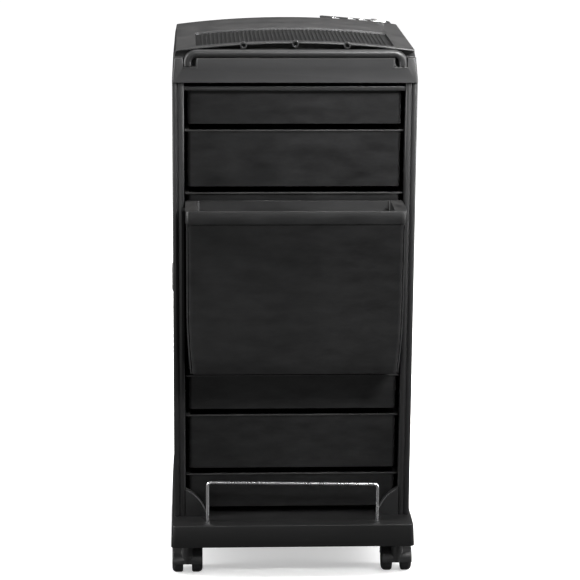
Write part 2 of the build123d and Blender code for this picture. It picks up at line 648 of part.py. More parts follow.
def holder_z(x):
    """The holder's upper face along its edge at the tray."""
    return crown_z(HOLDER_X0) - HOLDER_DROP - (x - HOLDER_X0) * math.tan(math.radians(HOLDER_SLOPE))


def make_top_tray():
    tray = tray_form(0, 0) - tray_form(TRAY_WALL, TRAY_WALL)
    under_mat = crown_slab(TRAY_WALL / 2, MAT_RECESS + MAT_FLOOR, MAT_HALF_W + MAT_FLOOR,
                           MAT_BACK - MAT_FLOOR, MAT_FRONT + MAT_FLOOR)
    tray += under_mat
    tray += niche_walls()
    tray += pocket_rims()
    tray -= niche()
    recess = crown_slab(-1.0, MAT_RECESS, MAT_HALF_W + 1.0, MAT_BACK, MAT_FRONT)
    recess &= rounded_plate(-MAT_HALF_W, MAT_HALF_W, MAT_BACK, MAT_FRONT, SKIRT_TOP, EDGE_Z + 2 * CROWN, MAT_CORNER)
    tray -= recess
    for x, z in accessory_places():
        tray -= along_y(x, -SKIRT_D, -EDGE_D / 2 + ACCESSORY_L, z, ACCESSORY_D)
    for x, y in frame_screw_places():
        boss = upright(x, y, FRAME_TOP, EDGE_Z + CROWN, TRAY_BOSS_D) & below_crown(TRAY_WALL / 2)
        tray += boss
        tray -= upright(x, y, FRAME_TOP, FRAME_TOP + SCREW_BITE, FRAME_SCREW_D)
    for x, z in holder_screw_places():
        tray -= along_y(x, HOLDER_EDGE_Y - 2 * TRAY_WALL, SKIRT_D, z, HOLDER_SCREW_D)
    return tray


def make_accessory_sockets():
    sockets = []
    y0 = -EDGE_D / 2
    for x, z in accessory_places():
        tube = along_y(x, y0, y0 + ACCESSORY_L, z, ACCESSORY_D)
        tube -= along_y(x, y0, y0 + ACCESSORY_L - ACCESSORY_BLIND, z, ACCESSORY_BORE)
        sockets.append(tube)
    return Compound(sockets)


def make_mat():
    """Ribbed rubber mat; its ribs run from back to front."""
    half_w = MAT_HALF_W - MAT_GAP
    count = int(2 * (MAT_HALF_W - MAT_CORNER) // MAT_RIB_PITCH)
    first = -(count - 1) * MAT_RIB_PITCH / 2
    seat = MAT_RECESS - MAT_LIFT
    valley = seat - MAT_T
    ridge = valley - MAT_RIB_H
    top = [(-half_w, crown_z(half_w) - valley)]
    for rib in range(count):
        x = first + rib * MAT_RIB_PITCH
        for edge, drop in ((-0.5, valley), (-0.32, ridge), (0.32, ridge), (0.5, valley)):
            here = x + edge * MAT_RIB_W
            top.append((here, crown_z(here) - drop))
    top.append((half_w, crown_z(half_w) - valley))
    under = [(x, crown_z(x) - seat) for x, _z in reversed(top)]
    section = make_face(Polyline(*top, *under, close=True))
    sheet = extrude(Plane.XZ * section, MAT_FRONT - MAT_BACK - 2 * MAT_GAP)
    sheet = Pos(0, MAT_FRONT - MAT_GAP, 0) * sheet
    outline = rounded_plate(-half_w, half_w, MAT_BACK + MAT_GAP, MAT_FRONT - MAT_GAP, SKIRT_TOP, EDGE_Z + 2 * CROWN,
                            MAT_CORNER - MAT_GAP)
    return sheet & outline


def make_push_bar():
    foot = POCKET_LOW + BAR_LIFT
    path = FilletPolyline((-BAR_LEG_X, BAR_Y, foot), (-BAR_LEG_X, BAR_Y, BAR_Z), (BAR_LEG_X, BAR_Y, BAR_Z),
                          (BAR_LEG_X, BAR_Y, foot), radius=BAR_BEND)
    section = Plane(origin=path @ 0, z_dir=path % 0) * Circle(BAR_D / 2)
    return sweep(section, path=path)


# ---- tool holder ----

def make_tool_holder():
    plate = block(0, HOLDER_L, 0, HOLDER_REACH, -HOLDER_T, 0)
    plate = fillet(plate.edges().filter_by(Axis.Z).group_by(Axis.Y)[-1], 2 * HOLDER_SLOT_R)
    for centre, width, near, far in HOLDER_SLOTS:
        plate -= rounded_plate(centre - width / 2, centre + width / 2, near, far, -HOLDER_T, 0, HOLDER_SLOT_R)
    plate += block(0, HOLDER_L, 0, HOLDER_T, -HOLDER_FLANGE, 0)
    last_centre, last_width, _near, last_far = HOLDER_SLOTS[-1]
    lip_x0 = last_centre - last_width / 2 - HOLDER_SLOT_R
    lip_y = last_far + 2 * HOLDER_T
    plate += block(lip_x0, HOLDER_L - 2 * HOLDER_SLOT_R, lip_y, lip_y + HOLDER_T, -HOLDER_T, HOLDER_LIP)
    placed = Pos(HOLDER_X0, HOLDER_EDGE_Y, holder_z(HOLDER_X0)) * Rot(0, HOLDER_SLOPE, 0) * plate
    for x, z in holder_screw_places():
        placed -= along_y(x, HOLDER_EDGE_Y, HOLDER_EDGE_Y + HOLDER_T, z, HOLDER_SCREW_D + 2 * LOOSE_HOLE)
    return placed


def make_holder_screws():
    screws = []
    face = HOLDER_EDGE_Y + HOLDER_T
    for x, z in holder_screw_places():
        head = along_y(x, face, face + SCREW_HEAD_H, z, SCREW_HEAD_D)
        head = fillet(head.edges().sort_by(Axis.Y)[-1], 1.0)
        screws.append(head + along_y(x, HOLDER_EDGE_Y - 2 * TRAY_WALL, face, z, HOLDER_SCREW_D))
    return Compound(screws)


# ---- bin ----

def bin_outline(inset, z0, z1):
    """The bin seen from behind, between two heights, with its sides curved in near the bottom."""
    half = BIN_HALF_W - inset
    knee = BIN_BOTTOM + BIN_TUCK_H
    low_half = half - BIN_TUCK
    drop = (knee - BIN_BOTTOM) / 2
    mid = (half - BIN_TUCK * 0.28, knee - drop)
    right = [Line((half, z1), (half, knee)), ThreePointArc((half, knee), mid, (low_half, BIN_BOTTOM))]
    left_mid = (-mid[0], mid[1])
    left = [ThreePointArc((-low_half, BIN_BOTTOM), left_mid, (-half, knee)), Line((-half, knee), (-half, z1))]
    if z0 < BIN_BOTTOM:
        right.append(Line((low_half, BIN_BOTTOM), (low_half, z0)))
        left.insert(0, Line((-low_half, z0), (-low_half, BIN_BOTTOM)))
    floor_z = min(z0, BIN_BOTTOM)
    closing = [Line((low_half, floor_z), (-low_half, floor_z)), Line((-half, z1), (half, z1))]
    return make_face(Curve() + right + [closing[0]] + left + [closing[1]])


def front_lean(y):
    """Everything behind the bin's leaning front, set back from it by y."""
    high = (BIN_FRONT + BIN_COLLAR + y, BIN_TOP)
    low = (BIN_FRONT + BIN_COLLAR + BIN_TILT + y, BIN_BOTTOM)
    slope = (low[0] - high[0]) / (low[1] - high[1])
    beyond = 30.0
    top_y = high[0] + slope * beyond
    low_y = low[0] - slope * beyond
    face = make_face(Polyline((top_y, BIN_TOP + beyond), (BIN_BACK + beyond, BIN_TOP + beyond),
                              (BIN_BACK + beyond, BIN_BOTTOM - beyond), (low_y, BIN_BOTTOM - beyond), close=True))
    return extrude(Plane.YZ * face, BIN_HALF_W + beyond, both=True)


def make_bin():
    depth = BIN_BACK - BIN_FRONT
    outside = Pos(0, BIN_BACK, 0) * extrude(Plane.XZ * bin_outline(0, BIN_BOTTOM, BIN_TOP), depth)
    outside &= front_lean(0)
    corner_edges = outside.edges().filter_by(lambda edge: abs(edge.center().X) > BIN_HALF_W - BIN_TUCK - 1)
    corner_edges = corner_edges.filter_by(lambda edge: edge.center().Y < (BIN_FRONT + BIN_BACK) / 2 - depth / 4)
    outside = fillet(corner_edges.filter_by(lambda edge: edge.length > BIN_TUCK_H / 2), BIN_CORNER)
    collar_half = BIN_HALF_W + BIN_COLLAR
    collar = rounded_plate(-collar_half, collar_half, BIN_FRONT, BIN_BACK + BIN_CORNER + depth, BIN_TOP - BIN_COLLAR_H,
                           BIN_TOP, BIN_CORNER)
    collar &= block(-collar_half, collar_half, BIN_FRONT, BIN_BACK, BIN_TOP - BIN_COLLAR_H, BIN_TOP)
    box = outside + collar
    side_space = Pos(0, BIN_BACK + BIN_WALL, 0) * extrude(
        Plane.XZ * bin_outline(BIN_WALL, BIN_BOTTOM - BIN_WALL, BIN_TOP - BIN_WALL), depth)
    side_space &= front_lean(BIN_WALL)
    inner_half = BIN_MOUTH_HALF_W + BIN_WALL
    side_space -= block(-inner_half, inner_half, BIN_FRONT, BIN_BACK + depth, BIN_BOTTOM - depth, BIN_TOP)
    box -= side_space
    inside = rounded_plate(-BIN_MOUTH_HALF_W, BIN_MOUTH_HALF_W, BIN_FRONT + BIN_MOUTH_LAND, BIN_BACK - BIN_WALL,
                           BIN_BOTTOM + BIN_WALL, BIN_TOP, 4.0)
    box -= inside & front_lean(BIN_WALL)
    for side in (-1, 1):
        box -= peg_notch(side)
    return box


def peg_notch(side):
    """A slot at 45 degrees in each cheek: the bin comes off upwards and backwards over its peg."""
    width = PEG_D + 2 * BODY_GAP
    reach = 4 * PEG_D
    x0 = side * (BIN_HEAD_X - PEG_HEAD_T - BODY_GAP)
    x1 = side * (BIN_HALF_W + 3 * BIN_COLLAR)
    round_end = along_x(x0, x1, PEG_Y, PEG_Z, width)
    slot = Pos((x0 + x1) / 2, PEG_Y, PEG_Z) * Rot(-45, 0, 0) * Pos(0, reach / 2, 0) * Box(abs(x1 - x0), reach, width)
    return round_end + slot


def make_bin_peg():
    """Right-hand peg: it stands in the post's inner wall, and its head keeps the bin central."""
    shank = along_x(BIN_HEAD_X, POST_IN + FRAME_WALL, PEG_Y, PEG_Z, PEG_D)
    return shank + along_x(BIN_HEAD_X - PEG_HEAD_T, BIN_HEAD_X, PEG_Y, PEG_Z, PEG_HEAD_D)


# ---- bottle rail ----

def make_bottle_rail():
    foot = DECK_Z - BASE_WALL - RAIL_BELOW
    path = FilletPolyline((-RAIL_X, RAIL_Y, foot), (-RAIL_X, RAIL_Y, RAIL_LEFT_TOP), (RAIL_X, RAIL_Y, RAIL_RIGHT_TOP),
                          (RAIL_X, RAIL_Y, foot), radius=RAIL_BEND)
    section = Plane(origin=path @ 0, z_dir=path % 0) * Circle(WIRE_D / 2)
    return sweep(section, path=path)


def make_rail_nuts():
    nuts = []
    top = DECK_Z - BASE_WALL
    for x in (-RAIL_X, RAIL_X):
        nuts.append(upright(x, RAIL_Y, top - NUT_H, top, NUT_D) - upright(x, RAIL_Y, top - NUT_H, top, WIRE_D))
    return Compound(nuts)


# ---- all pieces ----

save("base", make_base())

frame_right = make_side_frame()
save("side_frame_right", frame_right)
save("side_frame_left", mirrored(frame_right))

cap_right = make_side_cap()
save("side_cap_right", cap_right)
save("side_cap_left", mirrored(cap_right))

save("back_tie_rail", make_tie_rail(back=True))
save("front_tie_rail", make_tie_rail(back=False))
save("base_screws", make_frame_screws(DECK_Z - BASE_WALL, DECK_Z + SCREW_BITE - BODY_GAP))
save("tray_screws", make_frame_screws(FRAME_TOP - FLANGE_T, FRAME_TOP + SCREW_BITE - BODY_GAP))

for number, (rim, units) in enumerate(drawer_rows(), start=1):
    save(f"drawer_{number}", make_drawer(rim, units))

save("top_tray", make_top_tray())
save("tray_mat", make_mat())
save("accessory_sockets", make_accessory_sockets())
save("push_bar", make_push_bar())
save("tool_holder", make_tool_holder())
save("holder_screws", make_holder_screws())

save("bin", make_bin())
peg_right = make_bin_peg()
save("bin_peg_right", peg_right)
save("bin_peg_left", mirrored(peg_right))

save("bottle_rail", make_bottle_rail())
save("rail_nuts", make_rail_nuts())

save("caster_sockets", Compound([make_socket(x, y) for x, y in caster_places().values()]))
for place, (x, y) in caster_places().items():
    save(f"caster_{place}_hood", make_hood(x, y))
    save(f"caster_{place}_stem", make_stem(x, y))
    save(f"caster_{place}_axle", make_axle(x, y))
    save(f"caster_{place}_wheel_left", make_wheel(x, y, -1))
    save(f"caster_{place}_wheel_right", make_wheel(x, y, 1))

print("moved in Y by", round(-MIDDLE_Y, 3))
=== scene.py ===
# %% [markdown]
# # A salon trolley, dressed around its design model
# The trolley is a stack of black plastic mouldings: a base tray on four casters, two side frames
# that carry eight drawers, a crowned top tray and a bin that hangs on the back posts. A little
# bright metal stands out against them: a bent wire on the base and a slotted steel tool holder.
# The design model already holds every size and every joint. This lesson gives each piece the soft
# edges, the grain and the light that make it look moulded, bent or stamped.

import json
import math

import bpy
from mathutils import Euler, Matrix, Vector

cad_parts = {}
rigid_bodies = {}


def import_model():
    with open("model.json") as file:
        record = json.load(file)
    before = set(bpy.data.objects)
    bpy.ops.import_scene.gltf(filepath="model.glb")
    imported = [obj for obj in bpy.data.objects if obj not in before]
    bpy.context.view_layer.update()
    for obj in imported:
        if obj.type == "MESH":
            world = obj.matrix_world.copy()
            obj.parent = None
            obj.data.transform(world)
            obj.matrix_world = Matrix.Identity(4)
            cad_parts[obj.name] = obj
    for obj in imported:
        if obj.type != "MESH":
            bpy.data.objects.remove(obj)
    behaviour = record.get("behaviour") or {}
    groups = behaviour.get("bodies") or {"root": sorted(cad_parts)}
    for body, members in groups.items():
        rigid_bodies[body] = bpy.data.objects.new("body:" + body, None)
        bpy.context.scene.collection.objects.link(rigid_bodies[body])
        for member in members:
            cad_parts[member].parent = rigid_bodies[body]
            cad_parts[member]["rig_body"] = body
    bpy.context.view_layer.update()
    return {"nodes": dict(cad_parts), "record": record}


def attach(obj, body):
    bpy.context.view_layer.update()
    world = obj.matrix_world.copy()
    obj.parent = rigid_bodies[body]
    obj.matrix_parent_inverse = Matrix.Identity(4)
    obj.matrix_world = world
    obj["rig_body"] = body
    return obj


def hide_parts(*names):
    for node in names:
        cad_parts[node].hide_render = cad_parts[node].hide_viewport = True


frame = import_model()
MM = 0.001
SLOT_OF = {row["node"]: row["material_slot"] for row in frame["record"]["subparts"]}
BODY_OF = {name: node["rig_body"] for name, node in frame["nodes"].items()}
DRAWERS = sorted(name for name in frame["nodes"] if name.startswith("drawer_"))
CASTERS = sorted(name.removesuffix("_hood") for name in frame["nodes"] if name.endswith("_hood"))
print("loaded", len(frame["nodes"]), "nodes;", len(DRAWERS), "drawers and", len(CASTERS), "casters")

# %% [markdown]
# ## The camera
# A long lens from the bin side shows the trolley almost without perspective. The camera stands a
# little above the trolley and to its left, looks down by fourteen degrees, and is tipped by less
# than half a degree, as a hand-held camera is. A matrix made from plain angles keeps each readable.

# %% Set up the camera
FILM_WIDTH = 36.0


def add_camera(place, look_right, look_down, tip, lens):
    """A camera that looks along +Y, turned and tipped by these degrees; the lens is in mm."""
    data = bpy.data.cameras.new("studio_camera")
    data.lens = lens
    data.sensor_width = FILM_WIDTH
    camera = bpy.data.objects.new("studio_camera", data)
    aim = Euler((math.radians(90 - look_down), 0, math.radians(-look_right))).to_matrix()
    turn = aim @ Matrix.Rotation(math.radians(tip), 3, "Z")
    camera.matrix_world = Matrix.Translation(place) @ turn.to_4x4()
    bpy.context.scene.collection.objects.link(camera)
    bpy.context.scene.camera = camera
    return camera


camera = add_camera(
    place=(-0.1607, -3.5004, 1.3075), look_right=2.640, look_down=14.014, tip=0.411, lens=136.55)
print("camera at", [round(v, 3) for v in camera.location], "with a", camera.data.lens, "mm lens")

# %% [markdown]
# ## Node helpers
# A material is a small graph, and the graphs here are built in code. One helper adds a node and
# fills or links its inputs. Two more do sums and stretch ranges, and the last two make a group with
# named sockets and a noise that is fixed to the piece.

# %% Helpers for node graphs
def add_node(tree, kind, inputs=None, **settings):
    """Adds a shader node; an input is given a value, or a socket to link to."""
    node = tree.nodes.new("ShaderNode" + kind)
    for key, value in settings.items():
        setattr(node, key, value)
    for key, value in (inputs or {}).items():
        if isinstance(value, bpy.types.NodeSocket):
            tree.links.new(value, node.inputs[key])
        else:
            node.inputs[key].default_value = value
    return node


def calculate(tree, operation, first, second=0.0, clamp=False):
    inputs = {0: first, 1: second}
    return add_node(tree, "Math", inputs, operation=operation, use_clamp=clamp).outputs[0]


def remap(tree, value, low, high, to_low=0.0, to_high=1.0, shape="LINEAR"):
    """Stretches the range from low to high onto another one, and clamps what is outside it."""
    inputs = {"Value": value, "From Min": low, "From Max": high, "To Min": to_low, "To Max": to_high}
    return add_node(tree, "MapRange", inputs, interpolation_type=shape).outputs["Result"]


def new_group(name, inputs, outputs):
    """A node group; inputs are name, kind and default value, outputs are name and kind."""
    tree = bpy.data.node_groups.new(name, "ShaderNodeTree")
    for socket_name, kind, value in inputs:
        socket = tree.interface.new_socket(
            socket_name, in_out="INPUT", socket_type="NodeSocket" + kind)
        socket.default_value = value
    for socket_name, kind in outputs:
        tree.interface.new_socket(socket_name, in_out="OUTPUT", socket_type="NodeSocket" + kind)
    return tree, tree.nodes.new("NodeGroupInput"), tree.nodes.new("NodeGroupOutput")


def object_noise(tree, scale, detail=2.0, roughness=0.5, stretch=(1, 1, 1)):
    """Noise that is fixed to the piece; scale counts its cells in each metre."""
    place = add_node(tree, "TexCoord").outputs["Object"]
    stretched = add_node(tree, "Mapping", {"Vector": place, "Scale": stretch}).outputs[0]
    inputs = {"Vector": stretched, "Scale": scale, "Detail": detail, "Roughness": roughness}
    return add_node(tree, "TexNoise", inputs).outputs[0]


print("node helpers ready")

# %% [markdown]
# ## The floor
# A black object is seen by what it reflects. The floor is pale to the eye, but if it were as pale
# to the plastic, every upright face would turn grey. The Light Path node tells the two apart: a
# camera ray meets a nearly white floor, and every other ray meets a darker one. The light of the
# soft boxes fades with distance, so a gentle glow makes up for it away from the trolley. Under the
# trolley the glow is weaker, so that the true light and its soft shadow show.

# %% Lay the floor
def add_floor(size, seen, reflected, glow_from, glow_to, glow_least, glow_most):
    """A wide plane that looks pale everywhere and bounces less light than it seems to."""
    bpy.ops.mesh.primitive_plane_add(size=size, location=(0, 0, 0))
    floor = bpy.context.object
    floor.name = "studio_floor"
    material = bpy.data.materials.new("pale_studio_floor")
    material.use_nodes = True
    tree = material.node_tree
    tree.nodes.clear()
    pale = add_node(tree, "BsdfDiffuse", {"Color": (*seen, 1)}).outputs[0]
    dark = add_node(tree, "BsdfDiffuse", {"Color": (*reflected, 1)}).outputs[0]
    place = add_node(tree, "TexCoord").outputs["Object"]
    distance = add_node(tree, "VectorMath", {0: place}, operation="LENGTH").outputs["Value"]
    strength = remap(tree, distance, glow_from, glow_to, glow_least, glow_most, "SMOOTHSTEP")
    glow = add_node(tree, "Emission", {"Strength": strength}).outputs[0]
    lit = add_node(tree, "AddShader", {0: pale, 1: glow}).outputs[0]
    to_camera = add_node(tree, "LightPath").outputs["Is Camera Ray"]
    chosen = add_node(tree, "MixShader", {"Fac": to_camera, 1: dark, 2: lit}).outputs[0]
    add_node(tree, "OutputMaterial", {"Surface": chosen})
    floor.data.materials.append(material)
    return floor


floor = add_floor(
    size=80.0, seen=(0.97, 0.97, 0.97), reflected=(0.10, 0.10, 0.10),
    glow_from=0.15, glow_to=0.60, glow_least=0.45, glow_most=1.0)
print("floor laid,", round(floor.dimensions.x), "m wide")

# %% [markdown]
# ## The light
# Two tall soft boxes stand to the left and right, so that rounded edges on both sides catch a
# bright line. A wide one overhead lights the top and the rims. The one on the camera's side stands
# high on the right, has a narrow spread and is aimed above the trolley's right side, so the bin
# side is brightest there and fades towards the base. A small weak one near the floor puts a glint
# on the bottle rail, and one at the far right corner lights the drawer side. None of them is
# visible to the camera itself.

# %% Hang the soft boxes
AIR_GLOW = 0.09


def add_soft_box(name, place, target, width, height, power, spread=180):
    """A rectangular area light aimed at a target; power is in watts and spread in degrees."""
    data = bpy.data.lights.new(name, "AREA")
    data.shape = "RECTANGLE"
    data.size = width
    data.size_y = height
    data.energy = power
    data.spread = math.radians(spread)
    light = bpy.data.objects.new(name, data)
    direction = Vector(target) - Vector(place)
    light.rotation_euler = direction.to_track_quat("-Z", "Y").to_euler()
    light.location = place
    light.visible_camera = False
    bpy.context.scene.collection.objects.link(light)
    return light


add_soft_box("overhead_box", (0.0, -0.1, 2.6), (0, 0, 0.8), width=1.2, height=0.8, power=15)
add_soft_box("camera_box", (1.1, -1.7, 2.2), (0.42, 0, 1.02), width=1.0, height=0.8, power=12, spread=38)
add_soft_box("left_box", (-2.0, -0.4, 1.2), (-0.2, 0, 0.5), width=0.35, height=2.0, power=46)
add_soft_box("right_box", (2.0, -0.4, 1.2), (0.2, 0, 0.5), width=0.35, height=2.0, power=50)
add_soft_box("rail_box", (-0.7, -2.4, 0.5), (0, -0.1, 0.12), width=0.5, height=0.3, power=0.4, spread=50)
add_soft_box("drawer_side_box", (2.0, 1.9, 1.5), (0, 0, 0.45), width=1.2, height=0.8, power=26)

world = bpy.data.worlds.new("studio_air")
world.use_nodes = True
world.node_tree.nodes["Background"].inputs["Color"].default_value = (1.0, 1.0, 1.0, 1)
world.node_tree.nodes["Background"].inputs["Strength"].default_value = AIR_GLOW
bpy.context.scene.world = world
bpy.context.scene.view_settings.view_transform = "Standard"

# %% [markdown]
# ## Moulded grain
# The steel mould of such a trolley is spark-eroded, which leaves a fine leathery grain in the
# plastic. Close up it is a bump of a few hundredths of a millimetre. From further away it shows
# as a satin sheen in the roughness, and as soft clouds in the colour. Weak clouds are tone that
# differs at random. The strong clouds on the drawers and the bin are painted sheen: lighter and
# darker patches that stand in for reflections. One group makes all three, and each material sets
# its own strength.

# %% Build the grain group
def build_grain():
    tree, given, result = new_group(
        "Moulded grain",
        [("Colour", "Color", (0.03, 0.03, 0.03, 1)), ("Mottle", "Float", 0.3),
         ("Roughness", "Float", 0.4), ("Roughness spread", "Float", 0.1),
         ("Grain size", "Float", 1600.0)],
        [("Colour", "Color"), ("Roughness", "Float"), ("Height", "Float")])
    clouds = object_noise(tree, scale=26.0, detail=5.0, roughness=0.65, stretch=(1.0, 1.0, 2.6))
    sheen = object_noise(tree, scale=9.0, detail=4.0, roughness=0.6, stretch=(1.0, 1.0, 2.2))
    grain = object_noise(tree, scale=1.0, detail=3.0, roughness=0.6)
    tree.links.new(given.outputs["Grain size"], grain.node.inputs["Scale"])
    # The colour clouds are random tone when weak, and painted sheen (patches for reflections) when turned
    # up strongly.
    cloud_and_sheen_swing = calculate(tree, "SUBTRACT", clouds, 0.5)
    sheen_swing = calculate(tree, "SUBTRACT", sheen, 0.5)
    shade = calculate(tree, "MULTIPLY", cloud_and_sheen_swing, given.outputs["Mottle"])
    shade = calculate(tree, "ADD", shade, 1.0)
    tint = {0: given.outputs["Colour"], "Scale": shade}
    tinted = add_node(tree, "VectorMath", tint, operation="SCALE").outputs[0]
    spread = calculate(tree, "MULTIPLY", sheen_swing, given.outputs["Roughness spread"])
    rough = calculate(tree, "ADD", given.outputs["Roughness"], spread, clamp=True)
    tree.links.new(tinted, result.inputs["Colour"])
    tree.links.new(rough, result.inputs["Roughness"])
    tree.links.new(grain, result.inputs["Height"])
    return tree


grain_group = build_grain()
print("group:", grain_group.name, [s.name for s in grain_group.interface.items_tree])

# %% [markdown]
# ## Edge wear, dust and scuffs
# Hands, towels and bottles polish the edges of a trolley to a lighter grey. The Bevel node looks
# a little way round each point; where its normal differs from the real one, there is an edge.
# Dust settles on what faces up, in patches and specks, so its mask is the upward part of the normal
# times a soft noise. Scuffs are long thin noise, stretched along the way that things rub.

# %% Build the wear, dust and scuff groups
def build_edge_wear():
    tree, given, result = new_group(
        "Edge wear", [("Radius", "Float", 1.2 * MM), ("Amount", "Float", 0.5)], [("Mask", "Float")])
    rounded = add_node(tree, "Bevel", {"Radius": given.outputs["Radius"]}, samples=4).outputs[0]
    straight = add_node(tree, "NewGeometry").outputs["Normal"]
    both = {0: rounded, 1: straight}
    alike = add_node(tree, "VectorMath", both, operation="DOT_PRODUCT").outputs["Value"]
    edge = remap(tree, alike, 0.995, 0.80)
    rubbed = remap(tree, object_noise(tree, scale=90.0, detail=4.0, roughness=0.65), 0.3, 0.62)
    worn = calculate(tree, "MULTIPLY", edge, rubbed)
    mask = calculate(tree, "MULTIPLY", worn, given.outputs["Amount"], clamp=True)
    tree.links.new(mask, result.inputs["Mask"])
    return tree


def build_dust():
    tree, given, result = new_group(
        "Settled dust", [("Amount", "Float", 0.2)], [("Mask", "Float")])
    normal = add_node(tree, "NewGeometry").outputs["Normal"]
    upward = add_node(tree, "SeparateXYZ", {0: normal}).outputs["Z"]
    lying = remap(tree, upward, 0.55, 0.98)
    patches = remap(tree, object_noise(tree, scale=34.0, detail=5.0, roughness=0.7), 0.35, 0.75)
    specks = remap(tree, object_noise(tree, scale=850.0, detail=1.0), 0.62, 0.72)
    cover = calculate(tree, "ADD", patches, calculate(tree, "MULTIPLY", specks, 0.6))
    settled = calculate(tree, "MULTIPLY", lying, cover)
    mask = calculate(tree, "MULTIPLY", settled, given.outputs["Amount"], clamp=True)
    tree.links.new(mask, result.inputs["Mask"])
    return tree


def build_scuffs():
    tree, given, result = new_group(
        "Scuffs", [("Along", "Vector", (1.0, 1.0, 12.0)), ("Amount", "Float", 0.2)],
        [("Mask", "Float")])
    streaks = object_noise(tree, scale=30.0, detail=3.0, roughness=0.7)
    mapping = streaks.node.inputs["Vector"].links[0].from_node
    tree.links.new(given.outputs["Along"], mapping.inputs["Scale"])
    thin = remap(tree, streaks, 0.60, 0.72)
    mask = calculate(tree, "MULTIPLY", thin, given.outputs["Amount"], clamp=True)
    tree.links.new(mask, result.inputs["Mask"])
    return tree


wear_group = build_edge_wear()
dust_group = build_dust()
scuff_group = build_scuffs()
print("groups:", [g.name for g in (wear_group, dust_group, scuff_group)])

# %% [markdown]
# ## The plastic finishes
# All plastic pieces are black, but each mould gives another sheen: the tray is a little lighter,
# the drawers and the bin carry strong colour clouds that are painted sheen (lighter and darker
# patches for reflections), the push bar has less grain, the wheels are scuffed and the rubber mat
# is dull. So one function makes them all, and the values say how they differ. A worn edge is
# lighter and smoother than the plastic round it, a scuff is a little darker than a worn edge, and
# dust is pale and rough.

# %% Mix the plastics
DUST_COLOUR = (0.32, 0.31, 0.30, 1)
WORN_TIMES, WORN_PLUS = 3.2, 0.02
SCUFF_SHARE = 0.8
WEAR_SMOOTHS = -0.12
DUST_ROUGHENS = 0.3


def start_material(name):
    material = bpy.data.materials.new(name)
    material.use_nodes = True
    return material, material.node_tree, material.node_tree.nodes["Principled BSDF"]


def use_group(tree, group, **values):
    """Places a group; roughness_spread=0.1 fills its socket Roughness spread, and so on."""
    node = add_node(tree, "Group", node_tree=group)
    for key, value in values.items():
        socket = node.inputs[key.replace("_", " ").capitalize()]
        socket.default_value = value
    return node


def mix_colour(tree, factor, first, second):
    inputs = {"Factor": factor, 6: first, 7: second}
    return add_node(tree, "Mix", inputs, data_type="RGBA").outputs[2]


def plastic(name, shade, roughness, spread=0.12, mottle=0.35, gloss=0.5, grain_depth=0.06 * MM,
            grain_size=1600.0, wear=0.5, dust=0.15, scuffs=0.1, along=(1.0, 1.0, 12.0)):
    """A black moulded plastic; shade is its grey, from 0 to 1."""
    material, tree, shader = start_material(name)
    grain = use_group(
        tree, grain_group, colour=(shade, shade, shade * 1.02, 1), mottle=mottle,
        roughness=roughness, roughness_spread=spread, grain_size=grain_size)
    worn = use_group(tree, wear_group, amount=wear).outputs["Mask"]
    dusty = use_group(tree, dust_group, amount=dust).outputs["Mask"]
    rubbed = use_group(tree, scuff_group, amount=scuffs, along=along).outputs["Mask"]
    light = shade * WORN_TIMES + WORN_PLUS
    scuff = light * SCUFF_SHARE
    bare = mix_colour(tree, worn, grain.outputs["Colour"], (light, light, light, 1))
    scuffed = mix_colour(tree, rubbed, bare, (scuff, scuff, scuff, 1))
    covered = mix_colour(tree, dusty, scuffed, DUST_COLOUR)
    smoother = calculate(tree, "MULTIPLY", worn, WEAR_SMOOTHS)
    duller = calculate(tree, "MULTIPLY", dusty, DUST_ROUGHENS)
    rough = calculate(tree, "ADD", grain.outputs["Roughness"], smoother)
    rough = calculate(tree, "ADD", rough, duller, clamp=True)
    relief = {"Height": grain.outputs["Height"], "Strength": 0.6, "Distance": grain_depth}
    bump = add_node(tree, "Bump", relief)
    shader.inputs["Specular IOR Level"].default_value = gloss
    tree.links.new(covered, shader.inputs["Base Color"])
    tree.links.new(rough, shader.inputs["Roughness"])
    tree.links.new(bump.outputs[0], shader.inputs["Normal"])
    return material


finishes = {
    "frame_plastic": plastic("black_frame_plastic", 0.020, 0.36),
    "base_plastic": plastic(
        "black_base_plastic", 0.011, 0.44, dust=0.02, scuffs=0.10, along=(1.0, 12.0, 12.0)),
    "tray_plastic": plastic(
        "black_tray_plastic", 0.030, 0.42, dust=0.14, along=(12.0, 1.0, 12.0)),
    # On the drawers and the bin the strong colour clouds are painted sheen, patches that stand in for
    # reflections.
    "drawer_plastic": plastic("black_drawer_plastic", 0.015, 0.44, spread=0.36, mottle=2.2),
    "bin_plastic": plastic("black_bin_plastic", 0.011, 0.45, spread=0.36, mottle=2.2),
    "bar_plastic": plastic(
        "black_bar_plastic", 0.020, 0.40, grain_depth=0.03 * MM, wear=0.2, dust=0.04),
    "socket_plastic": plastic("black_socket_plastic", 0.030, 0.30, grain_depth=0.02 * MM),
    "caster_plastic": plastic(
        "black_hood_plastic", 0.022, 0.34, wear=0.6, dust=0.12, scuffs=0.25),
    "wheel_plastic": plastic(
        "black_wheel_nylon", 0.024, 0.46, dust=0.0, scuffs=0.5, along=(16.0, 1.0, 1.0)),
    "mat_rubber": plastic(
        "ribbed_mat_rubber", 0.014, 0.70, mottle=0.5, gloss=0.2, grain_depth=0.1 * MM,
        grain_size=900.0, wear=0.2, dust=0.03),
}
print("plastics:", sorted(finishes))
